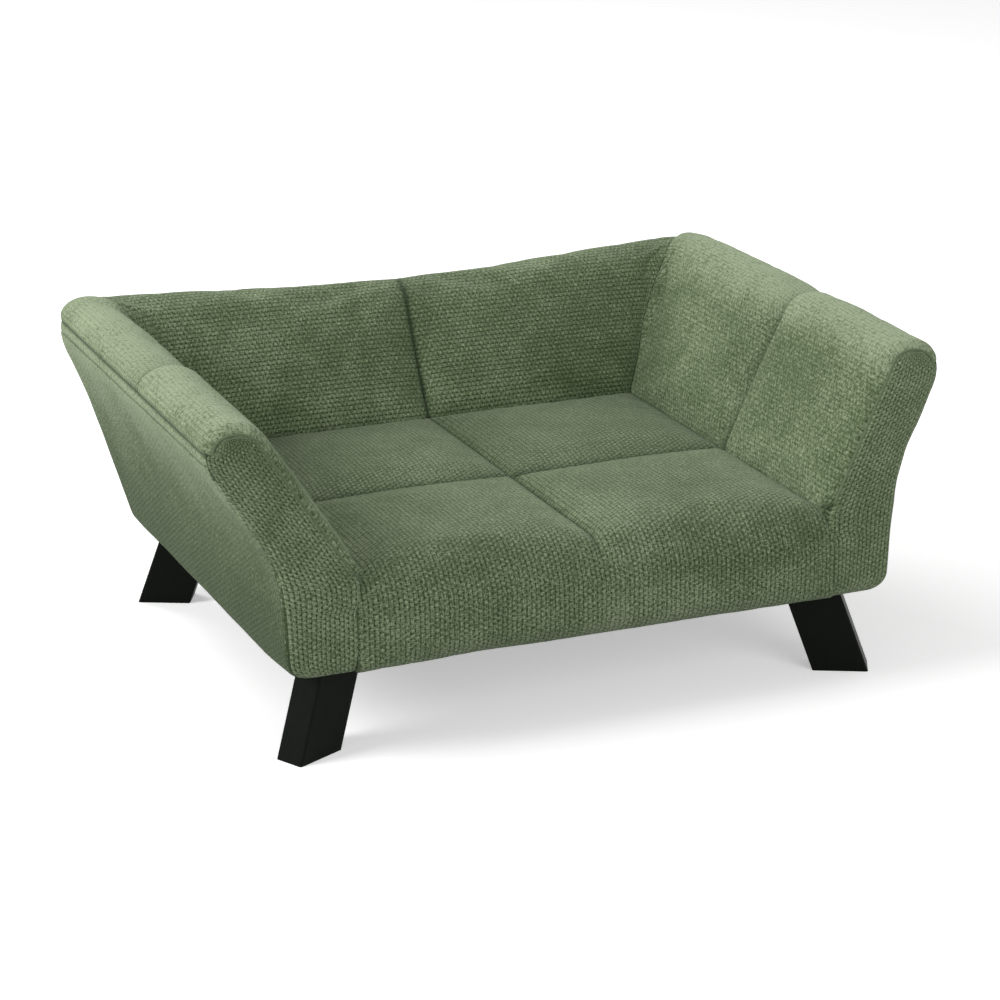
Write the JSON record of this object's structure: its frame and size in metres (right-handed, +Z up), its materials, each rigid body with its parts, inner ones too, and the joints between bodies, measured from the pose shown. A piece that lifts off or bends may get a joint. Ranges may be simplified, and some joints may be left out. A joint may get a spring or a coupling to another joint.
{
  "type": "dog sofa",
  "caption": "Low upholstered pet sofa with flared arms and back, a quilted seat that rolls over the front edge, and slanted board legs.",
  "frame": {"origin": "centre of the footprint on the floor", "axes": "+X to the right seen from the front, +Y towards the back, +Z up"},
  "size_m": [0.7076, 0.5264, 0.3145],
  "materials": {
    "fabric": "sage green chunky chenille with a waffle weave and a soft pile",
    "foam": "open-cell polyurethane foam",
    "frame_wood": "planed softwood",
    "board": "sanded plywood",
    "lining": "black non-woven lining",
    "leg": "black satin paint",
    "steel": "zinc plated"
  },
  "bodies": {
    "root": {"seat_cover": "fabric", "left_arm_pad": "fabric", "right_arm_pad": "fabric", "left_arm_front": "fabric", "right_arm_front": "fabric", "back_pad": "fabric", "left_outer_cover": "fabric", "right_outer_cover": "fabric", "back_outer_cover": "fabric", "seat_foam": "foam", "left_arm_foam": "foam", "right_arm_foam": "foam", "back_foam": "foam", "front_rail": "frame_wood", "rear_rail": "frame_wood", "left_rail": "frame_wood", "right_rail": "frame_wood", "centre_slat": "frame_wood", "corner_blocks": "frame_wood", "seat_board": "board", "left_arm_board": "board", "right_arm_board": "board", "left_front_former": "board", "right_front_former": "board", "left_rear_gusset": "board", "right_rear_gusset": "board", "back_board": "board", "back_gussets": "board", "dust_cover": "lining", "front_left_leg": "leg", "front_right_leg": "leg", "rear_left_leg": "leg", "rear_right_leg": "leg", "leg_bolts": "steel", "leg_nuts": "steel", "rail_screws": "steel", "board_screws": "steel"}
  },
  "joints": []
}
